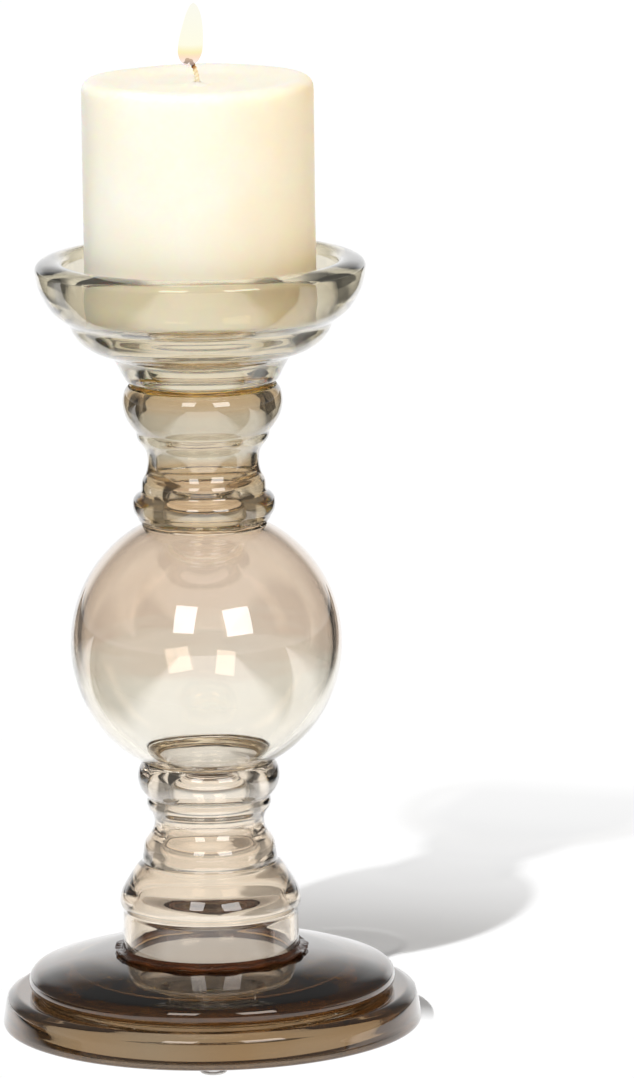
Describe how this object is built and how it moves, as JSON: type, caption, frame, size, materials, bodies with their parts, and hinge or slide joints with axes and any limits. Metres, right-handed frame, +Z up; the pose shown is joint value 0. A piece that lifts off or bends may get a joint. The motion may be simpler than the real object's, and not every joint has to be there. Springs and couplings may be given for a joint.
{
  "type": "glass candlestick",
  "caption": "Tall hollow glass candlestick with a stepped round base, turned stem, blown ball and flared cup, holding a pillar candle.",
  "frame": {"origin": "centre of the base, on the table that the pads stand on", "axes": "+Z up the stem to the candle; -Y is the front, +X is to the right seen from the front"},
  "size_m": [0.1398, 0.1398, 0.3262],
  "materials": {
    "lustre_glass": "clear glass with a thin warm tan metallic lustre, polished",
    "smoky_glass": "glass with a dark grey-brown metallic lustre, polished",
    "clear_bond": "thin film of clear adhesive, amber at its edge",
    "dark_bond": "ragged dark brown adhesive",
    "clear_vinyl": "clear soft vinyl, slightly hazy",
    "ivory_wax": "ivory paraffin wax, smooth and slightly translucent",
    "cotton": "braided cotton, burnt dark at the tip",
    "tinplate": "thin bright tinplate"
  },
  "bodies": {
    "holder": {"foot_pad_front": "clear_vinyl", "foot_pad_right": "clear_vinyl", "foot_pad_back": "clear_vinyl", "foot_pad_left": "clear_vinyl", "base_plate": "smoky_glass", "base_bond": "clear_bond", "base_dome": "smoky_glass", "foot_collar": "dark_bond", "lower_stem": "lustre_glass", "lower_ball_bond": "clear_bond", "ball": "lustre_glass", "upper_ball_bond": "clear_bond", "upper_stem": "lustre_glass", "cup_bond": "clear_bond", "candle_cup": "lustre_glass"},
    "candle": {"candle_wax": "ivory_wax", "candle_wick": "cotton", "wick_sustainer": "tinplate"}
  },
  "joints": [
    {"name": "candle_lift", "type": "slide", "parent": "holder", "child": "candle", "axis": [0, 0, 1], "range_m": [0, 0.06]}
  ]
}
